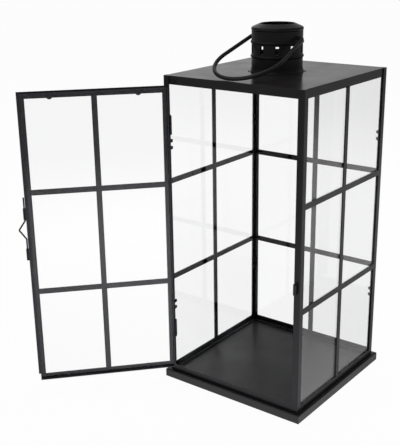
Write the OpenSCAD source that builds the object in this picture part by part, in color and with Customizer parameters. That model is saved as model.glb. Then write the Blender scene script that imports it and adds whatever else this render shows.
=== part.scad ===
// Candle lantern of folded angle and glass, with a hinged glazed door, a sliding
// wire bolt, a beaded and slotted chimney, and a wire bail that folds over it.
// Millimetres, +Z up. The door side faces -Y and the hinge is on its left post.

/* [Body] */
// Width and depth over the outer faces of the corner posts
body_width = 200; // [170:1:260]
// Height of the top plate above the ground
body_height = 410; // [360:1:520]
// Sheet thickness of posts, bottom rails and glazing bars
angle_wall = 1.5; // [1:0.1:2]
// Width of each leg of a corner post
post_leg = 8.2; // [7:0.1:12]
// Outer radius of the fold in a corner post
post_fold = 1.2; // [0.4:0.1:1.4]
// Upright leg of the bottom rails and of the sill
rail_height = 7.5; // [5:0.1:8.5]
// Flat leg of the bottom rails and of the sill
rail_depth = 8; // [4:0.5:14]
// Width of the flat glazing bars
bar_width = 7; // [4:0.2:12]
// Height of the lower cross bars above the tray
lower_bar_rise = 132.8; // [100:0.2:140]
// Drop of the upper cross bars below the top plate
upper_bar_drop = 135.2; // [110:0.2:150]

/* [Base tray] */
// Overhang of the tray beyond the posts
tray_overhang = 5.2; // [2:0.1:12]
// Height of the tray
tray_height = 11; // [8:0.2:20]
// Sheet thickness of the tray
tray_wall = 1.2; // [0.8:0.1:2]
// Width of the hem folded in under the skirt
hem_width = 9; // [4:0.5:20]
// Radius of the rolled upper edge of the tray
tray_roll = 1.6; // [1:0.1:3]

/* [Top plate] */
// Height of the folded rim
rim_height = 10.6; // [8:0.2:16]
// Sheet thickness of the top plate
plate_wall = 1.2; // [0.8:0.1:2]

/* [Glass] */
// Thickness of the panes
pane_thickness = 2.5; // [2:0.1:4]
// Play between a pane's edges and the metal round it
pane_gap = 0.3; // [0.2:0.05:0.6]
// How far the panes stop short of the inner corner faces
pane_corner_gap = 4.3; // [3:0.1:5]

/* [Pane clips] */
// Height of the lower clip pairs above the tray
lower_clip_rise = 94; // [60:1:110]
// Drop of the upper clip pairs below the top plate
upper_clip_drop = 87; // [60:0.5:100]
// Distance between the two clips of a pair
clip_pitch = 8.8; // [6:0.2:14]
// Height of one clip
clip_height = 4.6; // [3:0.2:5]
// Sheet thickness of the clips
clip_wall = 1; // [0.6:0.1:1.4]
// How far a clip shows past the edge of its post
clip_show = 1.6; // [0.5:0.1:4]

/* [Chimney] */
// Turn of the whole chimney, with the bail, on the top plate
chimney_turn = -4; // [-10:0.5:10]
// Outer radius of the collar
collar_radius = 31.5; // [26:0.1:40]
// Sheet thickness of the collar and its cap
collar_wall = 1.2; // [0.8:0.1:1.6]
// Height of the collar above the top plate
collar_height = 50.2; // [49.6:0.2:60]
// Radius of the rolled beads
bead_radius = 2.2; // [1.8:0.1:3]
// How far the beads stand out of the collar
bead_rise = 1.2; // [0.6:0.1:1.8]
// Height of the lower bead above the top plate
lower_bead_height = 19.5; // [14:0.1:22]
// Height of the upper bead above the top plate
upper_bead_height = 36.6; // [34:0.1:38]
// Number of vent slots
slot_count = 10; // [6:2:14]
// Width of a vent slot
slot_width = 4.6; // [3:0.1:6]
// Height of a vent slot
slot_height = 9.8; // [6:0.2:11]
// Height of the slots' middle above the top plate
slot_rise = 28.3; // [27.6:0.1:28.7]
// Play between the collar and the cap's sleeve inside it
cap_gap = 0.2; // [0.1:0.05:0.3]
// Depth of the cap's sleeve inside the collar
cap_sleeve = 3.6; // [2:0.1:4.4]
// How far the cap's rolled edge stands out over the collar
cap_overhang = 0.5; // [0.2:0.1:1]
// Radius of the cap's rolled outer edge
cap_roll = 2.7; // [2.4:0.1:3.2]
// Height of the rolled edge's middle above the collar's end
cap_roll_rise = 2; // [1.6:0.1:2.1]
// Rise of the cap from the rolled edge's middle to the opening
cap_rise = 6.2; // [5:0.1:9]
// Radius of the opening in the cap
cap_opening = 20.8; // [18:0.1:22.6]
// Radius of the rolled edge of the opening
cap_lip = 0.85; // [0.8:0.05:1.1]
// Thickness of the foot ring's upper edge
foot_wall = 0.4; // [0.3:0.1:1]
// Height of the foot ring
foot_height = 5; // [3:0.2:10]
// How far the foot ring flares out at the top plate
foot_flare = 1.5; // [0.5:0.1:2.4]
// Height of the foot ring's lowest edge below the flare
foot_edge = 0.6; // [0.4:0.1:1.2]
// Play between the collar and its foot ring
foot_gap = 0.05; // [0.03:0.01:0.2]
// Inner margin of the flue hole inside the collar
flue_margin = 0.8; // [0.5:0.1:3]
// Direction of the two rivet heads beside the foot
rivet_turn = 33; // [0:1:180]
// Radius of the rivet heads beside the foot
rivet_radius = 1; // [0.8:0.1:2]
// Distance of the rivet heads from the foot ring
rivet_gap = 0.3; // [0.3:0.1:3]

/* [Bail] */
// Radius of the bail wire
bail_wire = 2.42; // [1.8:0.02:3]
// Play of the wire in the collar's holes
bail_play = 0.08; // [0.05:0.01:0.1]
// Height of the bail's pivot above the top plate
pivot_height = 42; // [41.8:0.1:42.6]
// Radius of the bail's round end, to the wire's middle
bail_radius = 45.2; // [43:0.1:60]
// Distance from the pivot to the middle of the round end
bail_reach = 56; // [48:0.1:60]
// Play between the bail's legs and the cap
leg_gap = 3.1; // [1:0.1:4]
// Radius of the bend where the leg turns in to the hole
leg_bend = 4; // [3.4:0.1:6]
// Length of wire inside the collar
pivot_inside = 3; // [2:0.5:8]
// Height at which the resting bail clears the top plate
bail_rest_gap = 0.3; // [0.2:0.05:0.5]

/* [Door] */
// Angle by which the door stands open
door_open = 132; // [90:1:150]
// Sheet thickness of the door frame
door_wall = 1.2; // [0.8:0.1:1.4]
// Width of the door frame's face leg
door_leg = 6.5; // [5:0.1:12]
// Depth of the door frame's inward leg
door_depth = 6; // [5:0.1:9]
// Gap between the door frame's side and the post
door_side_gap = 0.9; // [0.6:0.1:2]
// Gap between the door frame and the sill below it
door_bottom_gap = 2; // [1:0.1:4]
// Gap between the door frame and the rim above it
door_top_gap = 2.4; // [1.5:0.1:4]
// Overlap of the closing lip on the latch post
lip_overlap = 1.7; // [0.5:0.1:2]
// Height of the closing lip above the door frame's top
lip_rise = 1.8; // [1:0.1:4]
// Distance by which the side lip stops short of the door's foot
lip_foot = 6.2; // [2:0.2:20]
// Position of the face leg's inner side from the hinge axis
door_face = 0.84; // [0.7:0.02:1.2]
// Width of the round tabs that hold the door pane at the top
top_tab_width = 8; // [6:0.2:12]
// Width of the square tabs that hold the door pane at the bottom
foot_tab_width = 4; // [3:0.2:8]
// How far the tabs show past the frame
tab_show = 1.4; // [0.5:0.1:4]
// Distance of the tabs from the sides of the door
tab_inset = 36; // [20:1:60]

/* [Hinges] */
// Offset of the hinge axis from the post's edge, toward the door
hinge_side = 2.3; // [2:0.1:3]
// Offset of the hinge axis in front of the posts
hinge_front = 1.7; // [1.5:0.1:2.5]
// Outer radius of the hinge knuckles
knuckle_radius = 2.1; // [1.9:0.05:2.3]
// Radius of the hinge pins
pin_radius = 1; // [0.7:0.05:1.1]
// Play of a pin or bolt in its knuckle
pin_play = 0.07; // [0.04:0.01:0.1]
// Length of one knuckle of a hinge
knuckle_length = 11.2; // [8:0.2:20]
// Gap between the two knuckles of a hinge
knuckle_gap = 0.3; // [0.3:0.05:0.6]
// Gap between the door frame and the posts' knuckles
stile_gap = 0.35; // [0.3:0.05:0.6]
// Thickness of the hinge leaves and of the latch strap
leaf_wall = 1; // [0.6:0.1:1.1]
// Width of the hinge leaf on the post
post_leaf = 7; // [4:0.2:7.6]
// Width of the hinge leaf on the door
door_leaf = 5.4; // [3:0.2:8]
// Height of the heads on the hinge pins
pin_head = 0.8; // [0.4:0.1:2]
// Rise of the lower hinge's middle above the door's foot
lower_hinge_rise = 54.5; // [30:0.5:80]
// Drop of the upper hinge's middle below the door's top
upper_hinge_drop = 47.4; // [30:0.5:80]

/* [Latch] */
// Radius of the bolt wire
bolt_wire = 1; // [0.8:0.05:1.2]
// Height of the finger kink's tip above the ground
kink_height = 226.4; // [190:0.2:240]
// How far the kink stands out to the side
kink_reach = 8.3; // [6:0.1:14]
// Length of wire that the kink takes up above and below its tip
kink_half = 12; // [9:0.1:16]
// Radius of the bends in the bolt wire
bolt_bend = 2; // [1.5:0.1:3]
// Travel of the bolt
bolt_travel = 12; // [8:0.2:12.4]
// Length of bolt that stands out above the upper latch knuckle
bolt_rise = 14; // [12.8:0.1:20]
// Outer radius of the latch knuckles and of the keeper
latch_radius = 1.8; // [1.75:0.05:2.3]
// Length of the latch knuckles
latch_length = 15; // [14:0.2:22]
// Length of the keeper on the post
keeper_length = 13.5; // [8:0.1:20]
// Gap between the lower latch knuckle and the keeper
keeper_gap = 3.7; // [2:0.1:4]
// Length of bolt left above the raised bolt's lower knuckle foot
bolt_foot = 0.8; // [0.3:0.1:2]
// Distance of the latch axis beyond the closing lip
latch_side = 1.4; // [1.2:0.1:1.8]
// Width of the latch strap on the lip
strap_width = 6; // [4:0.2:8]
// Width of the keeper's pad on the post
pad_width = 2.8; // [2.2:0.1:3.2]
// Gap between the closed door's lip and the keeper's pad
pad_gap = 0.5; // [0.4:0.1:0.8]

/* [Hidden] */
$fn = 64;
wire_joint = 0.02;
half = body_width / 2;
post_edge = half - post_leg;
inner_face = half - angle_wall;
tray_half = half + tray_overhang;
rail_top = tray_height + rail_height;
plate_under = body_height - plate_wall;
rim_foot = body_height - rim_height;
bar_levels = [tray_height + lower_bar_rise, body_height - upper_bar_drop];
pane_outer = inner_face;
pane_inner = inner_face - pane_thickness;
pane_foot = tray_height + angle_wall + pane_gap;
pane_head = rim_foot - pane_gap;
pane_edge = inner_face - pane_corner_gap;
pane_front = inner_face - pane_gap;
clip_levels = [tray_height + lower_clip_rise, body_height - upper_clip_drop];
rail_corner = half - max(post_leg, rail_depth);

hinge_x = -post_edge + hinge_side;
hinge_y = -half - hinge_front;
pin_bore = pin_radius + pin_play;
frame_left = knuckle_radius + stile_gap;
frame_right = post_edge - door_side_gap - hinge_x;
lip_right = post_edge + lip_overlap - hinge_x;
door_foot = rail_top + door_bottom_gap;
door_top = rim_foot - door_top_gap;
face_back = door_face - door_wall;
leg_end = door_face + door_depth;
open_left = frame_left + door_leg;
open_right = frame_right - door_leg;
open_foot = door_foot + door_leg;
open_top = door_top - door_leg;
open_middle = (open_left + open_right) / 2;
lip_top = door_top + lip_rise;
glass_back = door_face + pane_thickness;
hinge_levels = [door_foot + lower_hinge_rise, door_top - upper_hinge_drop];

latch_x = lip_right + latch_side;
latch_y = face_back - latch_radius;
bolt_bore = bolt_wire + pin_play;
kink_angle = atan2(kink_reach, kink_half);
bend_run = bolt_bend * tan(kink_angle / 2);
upper_knuckle = kink_height + kink_half + bend_run + 0.4;
lower_knuckle = kink_height - kink_half - bend_run - bolt_travel - 0.4 - latch_length;
keeper_top = lower_knuckle - keeper_gap;
bolt_top = upper_knuckle + latch_length + bolt_rise;
bolt_end = lower_knuckle + bolt_foot;

leg_start = collar_radius + bead_rise + leg_gap + bail_wire;
leg_tilt = atan2(bail_reach - leg_bend, leg_start - leg_bend)
  - acos((bail_radius - leg_bend) / norm([leg_start - leg_bend, bail_reach - leg_bend]));
bail_span = bail_reach + bail_radius;
bail_rest = asin((pivot_height - bail_wire - bail_rest_gap) / bail_span);
bail_hole = bail_wire + bail_play;

roll_x = collar_radius + cap_overhang - cap_roll;
roll_z = collar_height + cap_roll_rise;
lip_x = cap_opening + cap_lip;
lip_z = roll_z + cap_rise - cap_lip;
sleeve_radius = collar_radius - collar_wall - cap_gap;
dome_slope = atan2(lip_z - roll_z, roll_x - lip_x)
  - asin((cap_roll - cap_lip) / norm([roll_x - lip_x, lip_z - roll_z]));

black = [0.1, 0.1, 0.11];
grey = [0.16, 0.16, 0.17];
clear = [0.85, 0.92, 0.93, 0.3];

// Box from one corner to the opposite one.
module span(low, high) {
  translate(low)
    cube(high - low);
}

// Puts a piece drawn for the left side on the back (1) or the right (2).
module side(turn) {
  rotate([0, 0, -90 * turn])
    children();
}

// Door pieces are drawn closed, from the hinge axis, and then swung open.
module on_door() {
  translate([hinge_x, hinge_y, 0])
    rotate([0, 0, -door_open])
      children();
}

// Chimney pieces are drawn from the top plate's face, and turned together.
module on_plate() {
  translate([0, 0, body_height])
    rotate([0, 0, chimney_turn])
      children();
}

// Tray: a folded pan, floor up, with a rolled edge and a hem to stand on.
module base_tray() {
  color(black)
    difference() {
      union() {
        span([-tray_half, -tray_half, 0],
          [tray_half, tray_half, tray_height - tray_roll]);
        intersection() {
          span([-tray_half, -tray_half, tray_height - tray_roll - 0.5],
            [tray_half, tray_half, tray_height]);
          union() {
            tray_edge_fill();
            rotate([0, 0, 90])
              tray_roll_pair();
            tray_roll_pair();
          }
        }
      }
      span([-tray_half + tray_wall, -tray_half + tray_wall, tray_wall],
        [tray_half - tray_wall, tray_half - tray_wall, tray_height - tray_wall]);
      span([-tray_half + hem_width, -tray_half + hem_width, -1],
        [tray_half - hem_width, tray_half - hem_width, tray_wall + 1]);
    }
}

// The flat of the tray's floor inside the rolled edges.
module tray_edge_fill() {
  span([-tray_half + tray_roll, -tray_half + tray_roll, tray_height - tray_roll - 1],
    [tray_half - tray_roll, tray_half - tray_roll, tray_height]);
}

// Two opposite rolled edges, mitred at the corners.
module tray_roll_pair() {
  for (end = [0, 1])
    mirror([0, end, 0])
      intersection() {
        translate([-tray_half, tray_half - tray_roll, tray_height - tray_roll])
          rotate([0, 90, 0])
            cylinder(r = tray_roll, h = 2 * tray_half);
        linear_extrude(tray_height)
          polygon([[0, 0], [tray_half, tray_half], [-tray_half, tray_half]]);
      }
}

// Bottom rail: an angle with its upright leg flush with the posts.
module rail(turn, long) {
  reach = long ? post_edge : rail_corner;
  color(black)
    side(turn)
      union() {
        span([-half, -post_edge, tray_height],
          [-inner_face, post_edge, rail_top]);
        span([-half, -reach, tray_height],
          [-half + rail_depth, reach, tray_height + angle_wall]);
        if (!long)
          span([-half, -post_edge, tray_height],
            [-half + min(rail_depth, post_leg), post_edge, tray_height + angle_wall]);
      }
}

// Corner post: an angle from the tray to the top plate's face.
module post(flip_x, flip_y) {
  color(black)
    mirror([flip_x, 0, 0])
      mirror([0, flip_y, 0])
        translate([-half, -half, tray_height])
          linear_extrude(body_height - tray_height)
            difference() {
              union() {
                translate([post_fold, 0])
                  square([post_leg - post_fold, post_leg]);
                translate([0, post_fold])
                  square([post_leg, post_leg - post_fold]);
                translate([post_fold, post_fold])
                  circle(r = post_fold);
              }
              translate([angle_wall, angle_wall])
                square(post_leg);
            }
}

// Upright glazing bar in the plane of the post legs.
module upright_bar(turn) {
  color(black)
    side(turn)
      span([-half, -bar_width / 2, rail_top],
        [-inner_face, bar_width / 2, rim_foot]);
}

// Cross bars, in two lengths on each level, butted to the post and the upright.
module cross_bars(turn) {
  color(black)
    side(turn)
      for (level = bar_levels, end = [0, 1])
        mirror([0, end, 0])
          span([-half, bar_width / 2, level - bar_width / 2],
            [-inner_face, post_edge, level + bar_width / 2]);
}

// Pane that lies against the post legs and bars from inside, with its two ends.
module pane(turn, low_end, high_end) {
  color(clear)
    side(turn)
      span([-pane_outer, low_end, pane_foot],
        [-pane_inner, high_end, pane_head]);
}

// Round-ended tab that grips a pane's inner face from a post's inner face.
module clip_strip() {
  length = inner_face - post_edge + clip_show;
  translate([-pane_inner, -inner_face, -clip_height / 2])
    cube([clip_wall, length - clip_height / 2, clip_height]);
  translate([-pane_inner, -inner_face + length - clip_height / 2, 0])
    rotate([0, 90, 0])
      cylinder(d = clip_height, h = clip_wall);
}

// Clip pairs at both levels: single tabs in front, crossed tabs at the back posts.
module pane_clips() {
  color(black)
    for (level = clip_levels, offset = [-clip_pitch / 2, clip_pitch / 2], flip = [0, 1])
      translate([0, 0, level + offset])
        mirror([flip, 0, 0]) {
          clip_strip();
          mirror([0, 1, 0])
            union() {
              clip_strip();
              mirror([1, -1, 0])
                clip_strip();
            }
        }
}

// Top plate: a pan with its rim folded down between the posts, and the flue hole.
module top_plate() {
  color(grey)
    difference() {
      span([-inner_face, -inner_face, rim_foot],
        [inner_face, inner_face, body_height]);
      span([-inner_face + plate_wall, -inner_face + plate_wall, rim_foot - 1],
        [inner_face - plate_wall, inner_face - plate_wall, plate_under]);
      translate([0, 0, plate_under - 1])
        cylinder(r = collar_radius - collar_wall - flue_margin, h = plate_wall + 2);
    }
}

// Half section of the collar: a straight wall with two rolled beads.
module collar_section() {
  bead_x = collar_radius + bead_rise - bead_radius;
  difference() {
    union() {
      translate([collar_radius - collar_wall, 0])
        square([collar_wall, collar_height]);
      for (z = [lower_bead_height, upper_bead_height])
        translate([bead_x, z])
          circle(r = bead_radius);
    }
    square([collar_radius - collar_wall, collar_height]);
    for (z = [lower_bead_height, upper_bead_height])
      translate([bead_x, z])
        circle(r = bead_radius - collar_wall);
  }
}

// Chimney collar with its ring of vent slots and the two bail holes.
module chimney_collar() {
  color(black)
    on_plate()
      difference() {
        rotate_extrude()
          collar_section();
        for (i = [0 : slot_count - 1])
          rotate([0, 0, (i + 0.5) * 360 / slot_count])
            translate([collar_radius - 4, -slot_width / 2, slot_rise - slot_height / 2])
              cube([8, slot_width, slot_height]);
        translate([-collar_radius - 5, 0, pivot_height])
          rotate([0, 90, 0])
            cylinder(r = bail_hole, h = 2 * collar_radius + 10);
      }
}

// Half section of the cap: opening, sloping top, rolled outer edge and sleeve.
module cap_section() {
  out = [sin(dome_slope), cos(dome_slope)];
  down = [cos(dome_slope), -sin(dome_slope)];
  roll = [roll_x, roll_z];
  lip = [lip_x, lip_z];
  polygon([
    roll + (cap_roll - wire_joint) * out + 0.2 * down,
    lip + (cap_lip - wire_joint) * out,
    lip + (cap_lip - collar_wall) * out,
    roll + (cap_roll - collar_wall) * out + 0.2 * down
  ]);
  translate(lip)
    circle(r = cap_lip);
  translate([sleeve_radius - collar_wall, collar_height - cap_sleeve])
    square([collar_wall, cap_sleeve + 0.4]);
  difference() {
    translate(roll)
      circle(r = cap_roll);
    translate(roll)
      circle(r = cap_roll - collar_wall);
    polygon([roll, roll + 9 * out, roll + [-9, 9], roll + [-9, -9], roll + [0, -9]]);
    translate([sleeve_radius, collar_height - 9])
      square(9);
  }
}

// Cap that plugs into the collar, rests on its edge and leaves the draught hole.
module chimney_cap() {
  color(black)
    on_plate()
      rotate_extrude()
        cap_section();
}

// Foot ring round the collar on the top plate, flared out to its lower edge.
module chimney_foot() {
  inner = collar_radius + foot_gap;
  run = foot_height - foot_edge;
  flare = (foot_flare * foot_flare + run * run) / (2 * foot_flare);
  color(black)
    on_plate()
      rotate_extrude()
        difference() {
          translate([inner, 0])
            square([foot_wall + foot_flare, foot_height]);
          translate([inner + foot_wall + flare, foot_height])
            circle(r = flare);
        }
}

// Two rivet heads on the top plate beside the foot ring.
module chimney_rivets() {
  ring = collar_radius + foot_gap + foot_wall + foot_flare + rivet_gap + rivet_radius;
  color(black)
    for (turn = [rivet_turn, rivet_turn + 180])
      rotate([0, 0, turn])
        translate([ring, 0, body_height])
          intersection() {
            cylinder(r = rivet_radius, h = rivet_radius);
            translate([0, 0, -rivet_radius * 0.4])
              sphere(r = rivet_radius * 1.3);
          }
}

// Lower half of each hinge: knuckle and leaf on the post's front.
module hinge_post_halves() {
  leaf_end = hinge_x - pin_bore - 0.15;
  color(black)
    for (level = hinge_levels)
      translate([0, 0, level - knuckle_gap / 2 - knuckle_length]) {
        difference() {
          union() {
            translate([hinge_x, hinge_y, 0])
              cylinder(r = knuckle_radius, h = knuckle_length);
            span([-post_edge - post_leaf, -half - leaf_wall, 0],
              [leaf_end, -half, knuckle_length]);
          }
          translate([hinge_x, hinge_y, -1])
            cylinder(r = pin_bore, h = knuckle_length + 2);
        }
      }
}

// Upper half of each hinge: knuckle and leaf on the door's outer face.
module hinge_door_halves() {
  leaf_start = pin_bore + 0.1;
  color(black)
    on_door()
      for (level = hinge_levels)
        translate([0, 0, level + knuckle_gap / 2])
          difference() {
            union() {
              cylinder(r = knuckle_radius, h = knuckle_length);
              span([leaf_start, face_back - leaf_wall, 0],
                [frame_left + door_leaf, face_back, knuckle_length]);
            }
            translate([0, 0, -1])
              cylinder(r = pin_bore, h = knuckle_length + 2);
          }
}

// Hinge pins with a head at each end, standing in the posts' knuckles.
module hinge_pins() {
  length = 2 * knuckle_length + 2 * knuckle_gap;
  color(black)
    for (level = hinge_levels)
      translate([hinge_x, hinge_y, level - knuckle_gap / 2 - knuckle_length]) {
        translate([0, 0, -pin_head])
          cylinder(r = knuckle_radius - 0.3, h = pin_head);
        cylinder(r = pin_radius, h = length);
        translate([0, 0, length])
          cylinder(r = knuckle_radius - 0.3, h = pin_head);
      }
}

// Keeper tube on the latch post, on the bolt's line when the door is shut.
module latch_keeper() {
  keeper_x = hinge_x + latch_x;
  keeper_y = hinge_y + latch_y;
  pad_left = post_edge + lip_overlap + pad_gap;
  color(black)
    translate([0, 0, keeper_top - keeper_length])
      difference() {
        union() {
          translate([keeper_x, keeper_y, 0])
            cylinder(r = latch_radius, h = keeper_length);
          span([pad_left, keeper_y + bolt_bore + 0.3, 0],
            [pad_left + pad_width, -half, keeper_length]);
        }
        translate([keeper_x, keeper_y, -1])
          cylinder(r = bolt_bore, h = keeper_length + 2);
      }
}

// Door stile on the hinge side: an angle, its inward leg at the outer edge.
module door_hinge_stile() {
  color(black)
    on_door() {
      span([frame_left, face_back, door_foot], [open_left, door_face, lip_top]);
      span([frame_left, door_face, door_foot],
        [frame_left + door_wall, leg_end, door_top]);
    }
}

// Door stile on the latch side, with the lip that closes over the post.
module door_latch_stile() {
  color(black)
    on_door() {
      span([open_right, face_back, door_foot], [frame_right, door_face, lip_top]);
      span([frame_right, face_back, door_foot + lip_foot],
        [lip_right, door_face, lip_top]);
      span([frame_right - door_wall, door_face, door_foot],
        [frame_right, leg_end, door_top]);
    }
}

// Top rail of the door, with the lip that closes over the rim.
module door_top_rail() {
  color(black)
    on_door() {
      span([open_left, face_back, open_top], [open_right, door_face, lip_top]);
      span([frame_left + door_wall, door_face, door_top - door_wall],
        [frame_right - door_wall, leg_end, door_top]);
    }
}

// Foot rail of the door.
module door_foot_rail() {
  color(black)
    on_door() {
      span([open_left, face_back, door_foot], [open_right, door_face, open_foot]);
      span([frame_left + door_wall, door_face, door_foot],
        [frame_right - door_wall, leg_end, door_foot + door_wall]);
    }
}

// Upright glazing bar of the door.
module door_bar() {
  color(black)
    on_door()
      span([open_middle - bar_width / 2, face_back, open_foot],
        [open_middle + bar_width / 2, door_face, open_top]);
}

// Cross bars of the door, level with those of the fixed sides.
module door_cross_bars() {
  color(black)
    on_door()
      for (level = bar_levels) {
        span([open_left, face_back, level - bar_width / 2],
          [open_middle - bar_width / 2, door_face, level + bar_width / 2]);
        span([open_middle + bar_width / 2, face_back, level - bar_width / 2],
          [open_right, door_face, level + bar_width / 2]);
      }
}

// Pane of the door, inside the inward legs.
module door_pane() {
  inset = door_wall + pane_gap;
  color(clear)
    on_door()
      span([frame_left + inset, door_face, door_foot + inset],
        [frame_right - inset, glass_back, door_top - inset]);
}

// Tabs that hold the door's pane: round ones above, square ones below.
module door_tabs() {
  round_middle = open_top - tab_show + top_tab_width / 2;
  color(black)
    on_door()
      for (x = [frame_left + tab_inset, frame_right - tab_inset]) {
        span([x - foot_tab_width / 2, glass_back, door_foot + door_wall],
          [x + foot_tab_width / 2, glass_back + clip_wall, open_foot + tab_show]);
        intersection() {
          translate([x, glass_back, round_middle])
            rotate([-90, 0, 0])
              cylinder(d = top_tab_width, h = clip_wall);
          span([x - top_tab_width, glass_back, open_top - top_tab_width],
            [x + top_tab_width, glass_back + clip_wall, door_top - door_wall]);
        }
      }
}

// Two knuckles that guide the bolt, each with a strap on the lip's outer face.
module latch_knuckles() {
  color(black)
    on_door()
      for (z = [lower_knuckle, upper_knuckle])
        translate([0, 0, z])
          difference() {
            union() {
              translate([latch_x, latch_y, 0])
                cylinder(r = latch_radius, h = latch_length);
              span([latch_x - strap_width, face_back - leaf_wall * 0.8, 0],
                [latch_x, face_back, latch_length]);
            }
            translate([latch_x, latch_y, -1])
              cylinder(r = bolt_bore, h = latch_length + 2);
          }
}

// One bend of round wire: starts at the origin along +Z and turns toward +X.
module wire_bend(wire, bend, turn) {
  translate([bend, 0, 0])
    rotate([90, 0, 0])
      rotate([0, 0, 180 - turn])
        rotate_extrude(angle = turn)
          translate([bend, 0])
            circle(r = wire);
}

// Straight wire along +Z, with a full round joint at each end that meets a bend.
module wire_run(wire, length, joint_low, joint_high) {
  cylinder(r = wire, h = length);
  if (joint_low)
    sphere(r = wire + wire_joint);
  if (joint_high)
    translate([0, 0, length])
      sphere(r = wire + wire_joint);
}

// Bolt: one wire with a V kink for the finger, drawn along its own path.
module latch_bolt() {
  low = kink_height - kink_half - bend_run;
  high = kink_height + kink_half + bend_run;
  color(black)
    on_door()
      translate([latch_x, latch_y, 0])
        union() {
          translate([0, 0, bolt_end])
            wire_run(bolt_wire, low - bolt_end, false, true);
          translate([0, 0, high])
            wire_run(bolt_wire, bolt_top - high, true, false);
          kink_leg();
          translate([0, 0, 2 * kink_height])
            mirror([0, 0, 1])
              kink_leg();
          translate([kink_reach - bolt_bend / cos(kink_angle), 0, kink_height])
            rotate([90, 0, 0])
              rotate([0, 0, -kink_angle])
                rotate_extrude(angle = 2 * kink_angle)
                  translate([bolt_bend, 0])
                    circle(r = bolt_wire);
        }
}

// Lower half of the kink, up to the bend at its tip.
module kink_leg() {
  slope = norm([kink_reach, kink_half]);
  tip_run = bolt_bend * tan(kink_angle);
  translate([0, 0, kink_height - kink_half - bend_run])
    wire_bend(bolt_wire, bolt_bend, kink_angle);
  translate([0, 0, kink_height - kink_half])
    rotate([0, kink_angle, 0])
      translate([0, 0, bend_run])
        wire_run(bolt_wire, slope - bend_run - tip_run, true, true);
}

// Pivot and leg of the bail, drawn flat: X to the side, Z away from the pivot.
module bail_leg() {
  pivot_start = collar_radius - collar_wall - pivot_inside;
  leg_length = sqrt(pow(leg_start - leg_bend, 2) + pow(bail_reach - leg_bend, 2)
    - pow(bail_radius - leg_bend, 2));
  translate([pivot_start, 0, 0])
    rotate([0, 90, 0])
      wire_run(bail_wire, leg_start - leg_bend - pivot_start, false, true);
  translate([leg_start - leg_bend, 0, 0])
    mirror([1, 0, -1])
      wire_bend(bail_wire, leg_bend, 90 - leg_tilt);
  translate([leg_start - leg_bend + leg_bend * cos(leg_tilt), 0,
      leg_bend - leg_bend * sin(leg_tilt)])
    rotate([0, leg_tilt, 0])
      wire_run(bail_wire, leg_length, true, true);
}

// Bail, folded down so that its round end rests on the top plate.
module bail() {
  color(black)
    on_plate()
      translate([0, 0, pivot_height])
        rotate([90 + bail_rest, 0, 0])
          union() {
            bail_leg();
            mirror([1, 0, 0])
              bail_leg();
            translate([0, 0, bail_reach])
              rotate([90, 0, 0])
                rotate([0, 0, -leg_tilt])
                  rotate_extrude(angle = 180 + 2 * leg_tilt)
                    translate([bail_radius, 0])
                      circle(r = bail_wire);
          }
}

base_tray();
rail(0, false);  // rail_left
rail(1, true);  // rail_back
rail(2, false);  // rail_right
rail(3, true);  // front_sill
post(0, 0);  // post_front_left
post(1, 0);  // post_front_right
post(0, 1);  // post_back_left
post(1, 1);  // post_back_right
upright_bar(0);  // bar_left
upright_bar(1);  // bar_back
upright_bar(2);  // bar_right
cross_bars(0);  // cross_bars_left
cross_bars(1);  // cross_bars_back
cross_bars(2);  // cross_bars_right
pane(0, -pane_front, pane_edge);  // pane_left
pane(1, -pane_edge, pane_edge);  // pane_back
pane(2, -pane_edge, pane_front);  // pane_right
pane_clips();
top_plate();
chimney_collar();
chimney_cap();
chimney_foot();
chimney_rivets();
hinge_post_halves();
hinge_pins();
latch_keeper();
door_hinge_stile();
door_latch_stile();
door_top_rail();
door_foot_rail();
door_bar();
door_cross_bars();
door_pane();
door_tabs();
hinge_door_halves();
latch_knuckles();
latch_bolt();
bail();
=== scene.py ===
import math

import bmesh
import bpy
from mathutils import Matrix, Vector


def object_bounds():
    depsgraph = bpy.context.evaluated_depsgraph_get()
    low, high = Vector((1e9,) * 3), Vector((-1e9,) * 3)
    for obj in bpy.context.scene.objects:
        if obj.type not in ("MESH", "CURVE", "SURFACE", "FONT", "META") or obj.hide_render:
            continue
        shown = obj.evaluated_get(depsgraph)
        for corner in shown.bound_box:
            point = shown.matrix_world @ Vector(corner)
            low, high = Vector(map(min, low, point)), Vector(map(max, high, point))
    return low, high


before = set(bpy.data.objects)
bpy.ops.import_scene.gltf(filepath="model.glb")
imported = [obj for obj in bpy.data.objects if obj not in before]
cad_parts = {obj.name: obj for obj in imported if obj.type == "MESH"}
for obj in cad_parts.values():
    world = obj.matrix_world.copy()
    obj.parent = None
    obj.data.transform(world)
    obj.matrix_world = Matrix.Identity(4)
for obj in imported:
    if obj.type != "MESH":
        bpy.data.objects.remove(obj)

CAD_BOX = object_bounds()
MM = 0.001

# Camera: place in metres, turn, tilt and roll in degrees, focal length in pixels of a
# picture 400 pixels wide, sensor in millimetres.
CAMERA_PLACE = Vector((0.57244, -0.8963, 0.56955))
CAMERA_TURN = 37.86
CAMERA_TILT = 18.60
CAMERA_ROLL = -0.90
FOCAL_PIXELS = 851.65
PICTURE_WIDTH = 400
SENSOR_WIDTH = 36.0
CLIP_NEAR = 0.01
CLIP_FAR = 60.0

# Light levels, where 1 renders white. What the camera sees of the floor is this share
# of white, and for the rest its lit surface, which carries the shadow.
WHITE = 1.0
WORLD_LIGHT = 0.45
FLOOR_WHITE_SHARE = 0.96
FLOOR_COLOUR = (0.90, 0.90, 0.90, 1)

# Floor: size of its grid, cells across, and how far it lies under the tray.
FLOOR_SIZE = 12.0
FLOOR_CELLS = 8
FLOOR_GAP = 0.02 * MM

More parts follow.
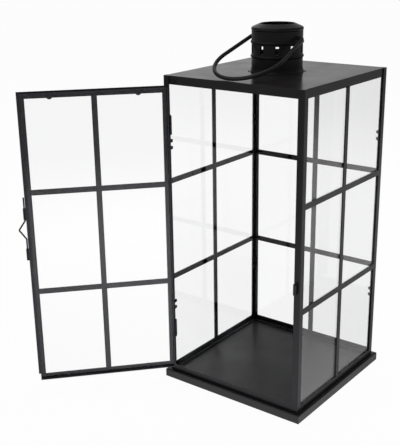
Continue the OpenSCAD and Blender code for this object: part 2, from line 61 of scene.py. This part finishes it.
# Soft square lamps: place, width and power. They face the lantern.
LAMP_TARGET = Vector((0, 0, 0.2))
LAMPS = {
    "key": (Vector((1.15, 1.25, 0.90)), 0.9, 6.4),
    "top": (Vector((-0.1, 0.25, 1.7)), 1.2, 11.2),
}

# What reflections meet round the object: a plain level with soft pools of light, each
# with its centre, its reach and the level it adds. On the floor centre and reach are in
# metres, and in the room they are a direction and a distance on the unit sphere.
FLOOR_LEVEL = 0.25
FLOOR_POOLS = {
    "front": ((0.35, -0.50, 0.0), 0.8, 0.85),
    "right": ((0.50, 0.80, 0.0), 1.3, 0.50),
    "foot": ((-0.10, -0.10, 0.0), 0.4, 0.25),
}
ROOM_LEVEL = 0.05
ROOM_POOLS = {
    "horizon behind": ((-0.64, 0.75, 0.15), 0.7, 0.50),
    "horizon at the right": ((0.34, 0.93, 0.15), 0.5, 0.20),
    "wall behind": ((-0.51, 0.61, 0.60), 0.8, 0.25),
    "wall at the left": ((-0.38, -0.66, 0.65), 1.1, 0.40),
}

# Black stoving paint. Clouds vary its colour and gloss, orange peel and fine specks its
# surface. Noise scales are per metre.
CLOUDS = {"Scale": 22.0, "Detail": 4.0, "Roughness": 0.55}
PEEL = {"Scale": 900.0, "Detail": 2.0, "Roughness": 0.5}
SPECKS = {"Scale": 3600.0, "Detail": 1.0, "Roughness": 0.5}
CLOUD_STOPS = (0.35, 0.65)
GLOSSIER = 0.04
DULLER = 0.05
PEEL_BUMP = {"Strength": 0.10, "Distance": 0.12 * MM}
SPECK_BUMP = {"Strength": 0.06, "Distance": 0.04 * MM}
# Edges: radius of their rounding and rays that find it, cosines between which the paler
# edge sets in, its full share, and how many times paler it is. The paler edge is partly
# worn paint and partly a painted highlight along the edges.
EDGE_RADIUS = 0.35 * MM
EDGE_SAMPLES = 6
WEAR_AND_HIGHLIGHT_STOPS = (0.995, 0.9)
WEAR_AND_HIGHLIGHT_SHARE = 0.35
WEAR_AND_HIGHLIGHT_PALER = 1.8
# Paint of each group of pieces: colour range, roughness, index of refraction, and the
# share of red and green that its reflections keep. All groups are one black paint: the
# lighter and darker colours and the indices of refraction that differ between groups are
# painted light and shade, set to how light falls on each group.
PAINTS = {
    "frame_black": {
        "dark": (0.0076, 0.0074, 0.0084),
        "light": (0.0112, 0.0109, 0.0120),
        "roughness": 0.36,
        "ior": 1.50,
        "cool": 0.94,
    },
    "plate_black": {
        "dark": (0.0124, 0.0110, 0.0116),
        "light": (0.0194, 0.0175, 0.0180),
        "roughness": 0.20,
        "ior": 1.45,
        # Wider rounding, which also widens the paler edge band with its painted highlight.
        "edge": 0.8 * MM,
    },
    "chimney_black": {
        "dark": (0.0094, 0.0088, 0.0096),
        "light": (0.0140, 0.0132, 0.0142),
        "roughness": 0.30,
        "ior": 1.38,
    },
    "tray_black": {
        "dark": (0.0060, 0.0060, 0.0067),
        "light": (0.0091, 0.0091, 0.0098),
        "roughness": 0.38,
        "ior": 1.58,
        "cool": 0.96,
    },
    "wire_black": {
        "dark": (0.0120, 0.0118, 0.0126),
        "light": (0.0190, 0.0188, 0.0198),
        "roughness": 0.22,
        "ior": 1.50,
    },
    # Lighter, with stronger reflections than the frame: painted light where light falls on the
    # door.
    "door_black": {
        "dark": (0.0124, 0.0122, 0.0142),
        "light": (0.0174, 0.0172, 0.0196),
        "roughness": 0.38,
        "ior": 1.75,
        "cool": 0.88,
    },
}

# Float glass with a faint draw wave and a film of dust.
GLASS_COLOUR = (0.996, 0.998, 0.998, 1)
GLASS_SHADE = (0.93, 0.94, 0.94, 1)
GLASS_IOR = 1.52
WAVE = {"Scale": 7.0, "Detail": 1.0}
WAVE_BUMP = {"Strength": 0.04, "Distance": 0.4 * MM}
FILM = {"Scale": 60.0, "Detail": 5.0, "Roughness": 0.6}
FILM_STOPS = (0.35, 0.75)
FILM_ROUGHNESS = 0.03

# Which nodes have which material. Of the rest, the door's have door_black and the
# others frame_black.
NODES = {
    "pane_glass": ("pane_left", "pane_back", "pane_right", "door_pane"),
    "wire_black": ("bail", "latch_bolt", "hinge_pins", "chimney_rivets"),
    "tray_black": ("base_tray",),
    "plate_black": ("top_plate",),
    "chimney_black": ("chimney_collar", "chimney_cap", "chimney_foot"),
}


def add(tree, kind, inputs, **settings):
    """Adds a node. Settings are its own properties. Inputs are its sockets, each with a
    value or with the output that feeds it."""
    node = tree.nodes.new(kind)
    for key, value in settings.items():
        setattr(node, key, value)
    for key, value in inputs.items():
        if isinstance(value, bpy.types.NodeSocket):
            tree.links.new(value, node.inputs[key])
        else:
            node.inputs[key].default_value = value
    return node


def calculated(tree, operation, first, second):
    """The result of an operation on two values."""
    node = add(tree, "ShaderNodeMath", {0: first, 1: second}, operation=operation)
    return node.outputs["Value"]


def mapped(tree, value, stops, levels, blend="LINEAR"):
    """A value taken from a range between two stops to a range between two levels."""
    inputs = {
        "Value": value,
        "From Min": stops[0],
        "From Max": stops[1],
        "To Min": levels[0],
        "To Max": levels[1],
    }
    return add(tree, "ShaderNodeMapRange", inputs, interpolation_type=blend).outputs["Result"]


def mixed(tree, share, first, second):
    """Two shaders, mixed by the second one's share."""
    return add(tree, "ShaderNodeMixShader", {0: share, 1: first, 2: second}).outputs["Shader"]


def noise(tree, place, pattern):
    """A noise pattern's 0-1 value at a place."""
    return add(tree, "ShaderNodeTexNoise", {"Vector": place, **pattern}).outputs["Fac"]


def bumped(tree, height, bump, **base):
    """A normal tilted by the slope of a height."""
    return add(tree, "ShaderNodeBump", {"Height": height, **bump, **base}).outputs["Normal"]


def blended(tree, share, first, second):
    """Two colours, mixed by the second one's share."""
    inputs = {"Factor": share, "A": first, "B": second}
    return add(tree, "ShaderNodeMix", inputs, data_type="RGBA").outputs["Result"]


def mirrored(tree, path):
    """1 for what is seen in a reflection, also through glass, and 0 for the rest."""
    once = calculated(tree, "MINIMUM", path["Glossy Depth"], 1)
    result = add(
        tree,
        "ShaderNodeMath",
        {0: once, 1: path["Is Diffuse Ray"]},
        operation="SUBTRACT",
        use_clamp=True,
    )
    return result.outputs["Value"]


def pooled(tree, place, level, pools):
    """The light level at a place: the plain level and what each pool adds there."""
    for centre, reach, gain in pools.values():
        away = add(tree, "ShaderNodeVectorMath", {0: place, 1: centre}, operation="DISTANCE")
        fall = mapped(tree, away.outputs["Value"], (0, reach), (gain, 0), "SMOOTHSTEP")
        level = calculated(tree, "ADD", fall, level)
    return level


def new_material(name, surface):
    """A material whose surface is what a function makes in its node tree."""
    material = bpy.data.materials.new(name)
    material.use_nodes = True
    tree = material.node_tree
    tree.nodes.clear()
    add(tree, "ShaderNodeOutputMaterial", {"Surface": surface(tree)})
    return material


def paint(name, dark, light, roughness, ior, cool=1.0, edge=EDGE_RADIUS):
    """Black stoving paint with faint orange peel, cloudy gloss and rounded edges that are
    slightly paler: partly worn paint, partly a painted highlight."""

    def surface(tree):
        place = add(tree, "ShaderNodeTexCoord", {}).outputs["Object"]
        cloud = noise(tree, place, CLOUDS)
        rounded = add(tree, "ShaderNodeBevel", {"Radius": edge}, samples=EDGE_SAMPLES)
        rounded = rounded.outputs["Normal"]
        flat = add(tree, "ShaderNodeNewGeometry", {}).outputs["Normal"]
        turned = add(tree, "ShaderNodeVectorMath", {0: rounded, 1: flat}, operation="DOT_PRODUCT")
        # Paler band along the edges: partly worn paint, partly a painted highlight.
        worn_and_highlight = mapped(tree, turned.outputs["Value"], WEAR_AND_HIGHLIGHT_STOPS, (0, WEAR_AND_HIGHLIGHT_SHARE))
        colour = blended(tree, cloud, (*dark, 1), (*light, 1))
        colour = blended(tree, worn_and_highlight, colour, (*[c * WEAR_AND_HIGHLIGHT_PALER for c in light], 1))
        gloss = mapped(tree, cloud, CLOUD_STOPS, (roughness - GLOSSIER, roughness + DULLER))
        normal = bumped(tree, noise(tree, place, PEEL), PEEL_BUMP, Normal=rounded)
        normal = bumped(tree, noise(tree, place, SPECKS), SPECK_BUMP, Normal=normal)
        inputs = {
            "Base Color": colour,
            "Roughness": gloss,
            "IOR": ior,
            "Specular Tint": (cool, cool, 1, 1),
            "Normal": normal,
        }
        return add(tree, "ShaderNodeBsdfPrincipled", inputs).outputs["BSDF"]

    return new_material(name, surface)


def clear_glass(name):
    """Clear float glass with a faint draw wave and a film of dust. Lamps shine through
    it."""

    def surface(tree):
        place = add(tree, "ShaderNodeTexCoord", {}).outputs["Object"]
        inputs = {
            "Base Color": GLASS_COLOUR,
            "Roughness": mapped(tree, noise(tree, place, FILM), FILM_STOPS, (0, FILM_ROUGHNESS)),
            "IOR": GLASS_IOR,
            "Transmission Weight": 1.0,
            "Normal": bumped(tree, noise(tree, place, WAVE), WAVE_BUMP),
        }
        clear = add(tree, "ShaderNodeBsdfPrincipled", inputs).outputs["BSDF"]
        passing = add(tree, "ShaderNodeBsdfTransparent", {"Color": GLASS_SHADE}).outputs["BSDF"]
        path = add(tree, "ShaderNodeLightPath", {}).outputs
        return mixed(tree, path["Is Shadow Ray"], clear, passing)

    return new_material(name, surface)


def floor_surface(tree):
    """Pale floor: white with a faint shadow to the camera and through glass, a plain
    pale surface to the light, and pools of light to reflections."""
    path = add(tree, "ShaderNodeLightPath", {}).outputs
    place = add(tree, "ShaderNodeNewGeometry", {}).outputs["Position"]
    plain = add(tree, "ShaderNodeBsdfDiffuse", {"Color": FLOOR_COLOUR}).outputs["BSDF"]
    glow = add(tree, "ShaderNodeEmission", {"Strength": WHITE}).outputs["Emission"]
    shown = pooled(tree, place, FLOOR_LEVEL, FLOOR_POOLS)
    shine = add(tree, "ShaderNodeEmission", {"Strength": shown}).outputs["Emission"]
    seen = calculated(tree, "MAXIMUM", path["Is Camera Ray"], path["Is Transmission Ray"])
    share = calculated(tree, "MULTIPLY", seen, FLOOR_WHITE_SHARE)
    return mixed(tree, mirrored(tree, path), mixed(tree, share, plain, glow), shine)


def build_world():
    """Plain studio surroundings: white to the camera and through glass, pools of light
    to reflections, and even light for the rest."""
    world = bpy.data.worlds.new("studio")
    bpy.context.scene.world = world
    world.use_nodes = True
    tree = world.node_tree
    tree.nodes.clear()

    def background(strength):
        inputs = {"Color": (1, 1, 1, 1), "Strength": strength}
        return add(tree, "ShaderNodeBackground", inputs).outputs["Background"]

    path = add(tree, "ShaderNodeLightPath", {}).outputs
    direction = add(tree, "ShaderNodeTexCoord", {}).outputs["Generated"]
    room = background(pooled(tree, direction, ROOM_LEVEL, ROOM_POOLS))
    seen = calculated(tree, "MAXIMUM", path["Is Camera Ray"], path["Is Transmission Ray"])
    direct = mixed(tree, seen, background(WORLD_LIGHT), background(WHITE))
    surface = mixed(tree, mirrored(tree, path), direct, room)
    add(tree, "ShaderNodeOutputWorld", {"Surface": surface})


def build_floor():
    """A wide floor at the tray's foot."""
    mesh = bpy.data.meshes.new("floor")
    shape = bmesh.new()
    bmesh.ops.create_grid(
        shape, x_segments=FLOOR_CELLS, y_segments=FLOOR_CELLS, size=FLOOR_SIZE
    )
    shape.to_mesh(mesh)
    shape.free()
    floor = bpy.data.objects.new("floor", mesh)
    bpy.context.scene.collection.objects.link(floor)
    floor.location.z = CAD_BOX[0][2] - FLOOR_GAP
    mesh.materials.append(new_material("studio_floor", floor_surface))


def softbox(name, place, width, power):
    """A square area lamp that faces the lantern. Reflections show the pools of light
    and not the lamp."""
    lamp = bpy.data.lights.new(name, "AREA")
    lamp.shape = "SQUARE"
    lamp.size = width
    lamp.energy = power
    holder = bpy.data.objects.new(name, lamp)
    holder.visible_glossy = False
    bpy.context.scene.collection.objects.link(holder)
    turn = (LAMP_TARGET - place).to_track_quat("-Z", "Y").to_matrix().to_4x4()
    holder.matrix_world = Matrix.Translation(place) @ turn


def build_camera():
    """The camera, from its turn, tilt and roll."""
    turn, tilt, roll = (math.radians(a) for a in (CAMERA_TURN, CAMERA_TILT, CAMERA_ROLL))
    right = Vector((math.cos(turn), math.sin(turn), 0))
    back = Vector(
        (math.sin(turn) * math.cos(tilt), -math.cos(turn) * math.cos(tilt), math.sin(tilt))
    )
    up = back.cross(right)
    side = right * math.cos(roll) + up * math.sin(roll)
    top = up * math.cos(roll) - right * math.sin(roll)
    data = bpy.data.cameras.new("camera")
    data.sensor_fit = "HORIZONTAL"
    data.sensor_width = SENSOR_WIDTH
    data.lens = FOCAL_PIXELS * SENSOR_WIDTH / PICTURE_WIDTH
    data.clip_start = CLIP_NEAR
    data.clip_end = CLIP_FAR
    camera = bpy.data.objects.new("camera", data)
    bpy.context.scene.collection.objects.link(camera)
    axes = Matrix((side, top, back)).transposed().to_4x4()
    camera.matrix_world = Matrix.Translation(CAMERA_PLACE) @ axes
    bpy.context.scene.camera = camera


def material_name(node):
    """The name of a CAD node's material."""
    for material, nodes in NODES.items():
        if node in nodes:
            return material
    return "door_black" if node.startswith("door_") else "frame_black"


def dress():
    """Gives each CAD node its material in all its slots."""
    materials = {name: paint(name, **look) for name, look in PAINTS.items()}
    materials["pane_glass"] = clear_glass("pane_glass")
    for name in sorted(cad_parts):
        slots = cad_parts[name].data.materials
        slots.clear()
        slots.append(materials[material_name(name)])


build_camera()
build_world()
build_floor()
for name, (place, width, power) in LAMPS.items():
    softbox(name, place, width, power)
dress()

bpy.context.scene.view_settings.view_transform = "Standard"
